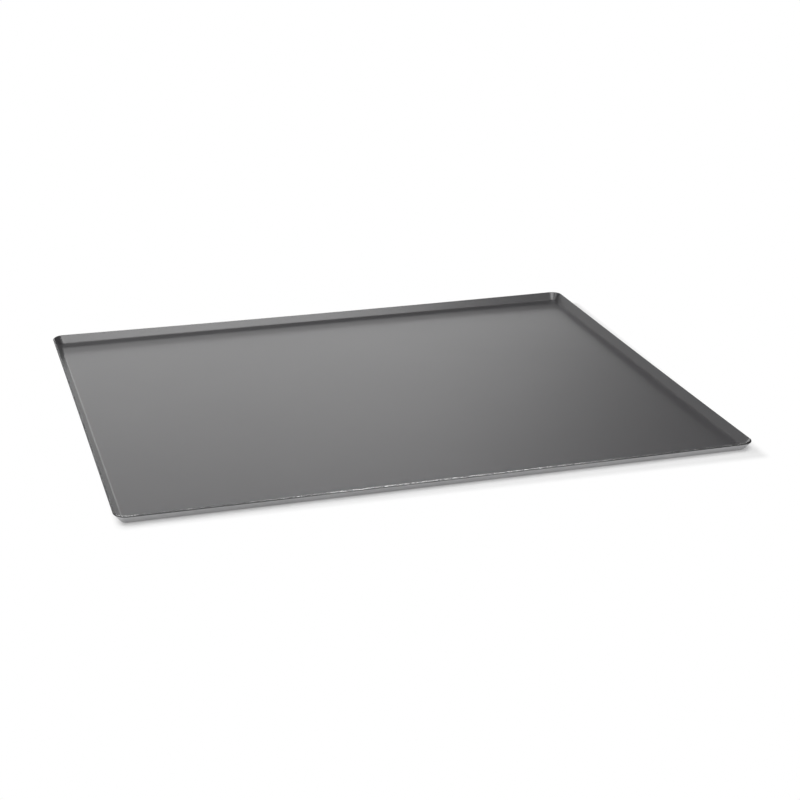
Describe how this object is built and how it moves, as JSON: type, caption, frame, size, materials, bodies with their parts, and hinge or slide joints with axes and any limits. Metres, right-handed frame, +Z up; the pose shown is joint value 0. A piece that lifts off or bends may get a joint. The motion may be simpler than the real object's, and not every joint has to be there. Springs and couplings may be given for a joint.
{
  "type": "baking sheet",
  "caption": "Flat rectangular aluminium baking sheet with a low rim leaning out on all sides and a dark non-stick film on its upper face.",
  "frame": {"origin": "middle of the flat underside, on the surface that the sheet lies on", "axes": "+Z up out of the baking surface, X along the long sides, Y along the short sides"},
  "size_m": [0.65, 0.53, 0.0109],
  "materials": {
    "bare_aluminium": "mill finish, faintly brushed; cut edge dulled by overspray and rubbed bright in spots",
    "nonstick_film": "satin dark grey fluoropolymer, baked on"
  },
  "bodies": {
    "root": {"pressed_sheet": "bare_aluminium", "nonstick_film": "nonstick_film"}
  },
  "joints": []
}
